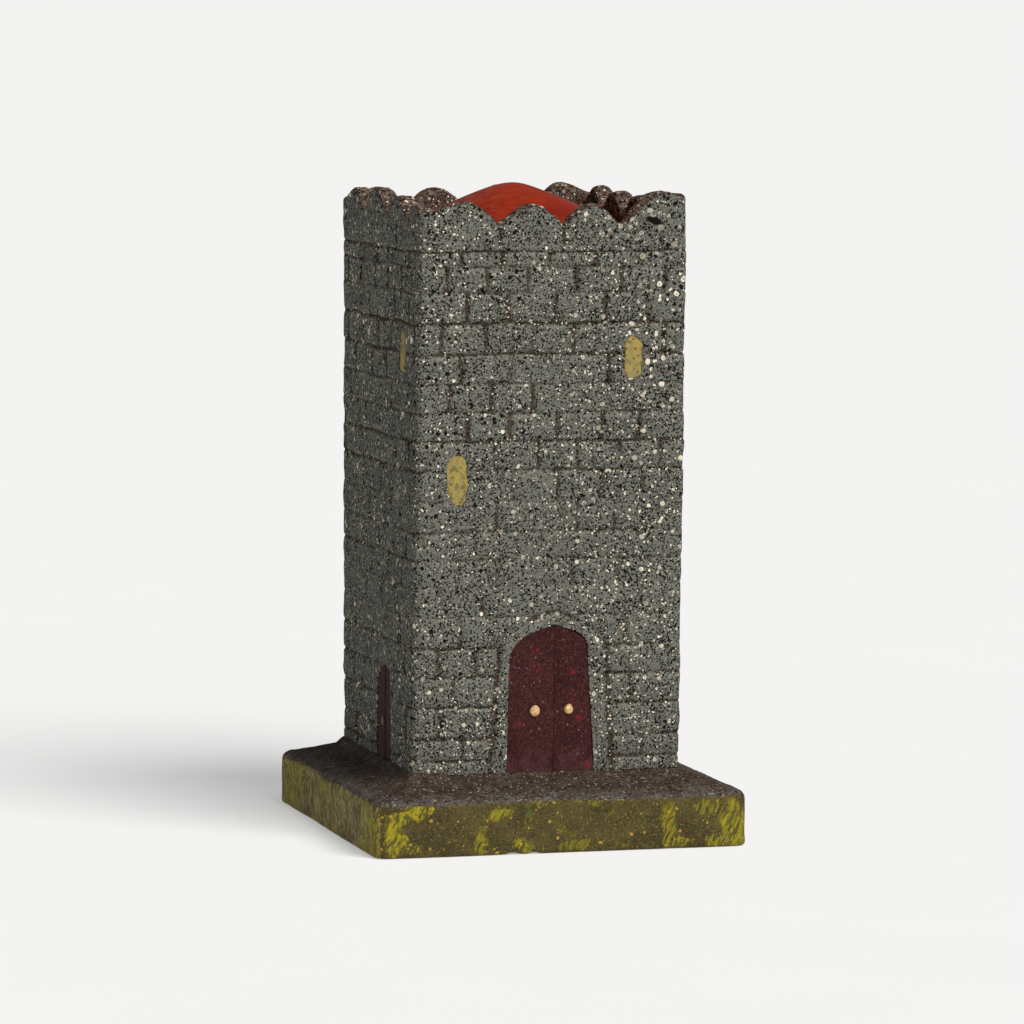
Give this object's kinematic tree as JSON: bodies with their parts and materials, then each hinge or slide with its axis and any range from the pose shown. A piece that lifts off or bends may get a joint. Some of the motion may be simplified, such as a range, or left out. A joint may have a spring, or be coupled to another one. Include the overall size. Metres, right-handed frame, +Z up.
{
  "type": "miniature castle tower",
  "caption": "Small square stone-look tower with a notched parapet, low red dome, arched doors and slit windows, standing on a square plinth.",
  "frame": {"origin": "middle of the plinth's underside", "axes": "+Z up along the tower, -Y out of the front door, -X out of the side door"},
  "size_m": [0.0556, 0.058, 0.095],
  "materials": {
    "plinth_paint": "satin",
    "speckled_stone": "matte",
    "deck_brown": "matte",
    "dome_red": "gloss",
    "door_maroon": "satin",
    "gilt": "satin",
    "window_yellow": "satin"
  },
  "bodies": {
    "root": {"plinth": "plinth_paint", "tower": "speckled_stone", "roof_deck": "deck_brown", "roof_dome": "dome_red", "front_door_left_leaf": "door_maroon", "front_door_right_leaf": "door_maroon", "front_door_left_knob": "gilt", "front_door_right_knob": "gilt", "side_door_left_leaf": "door_maroon", "side_door_right_leaf": "door_maroon", "side_door_knob": "gilt", "front_upper_window": "window_yellow", "front_lower_window": "window_yellow", "side_window": "window_yellow", "back_window": "window_yellow", "right_window": "window_yellow"}
  },
  "joints": []
}
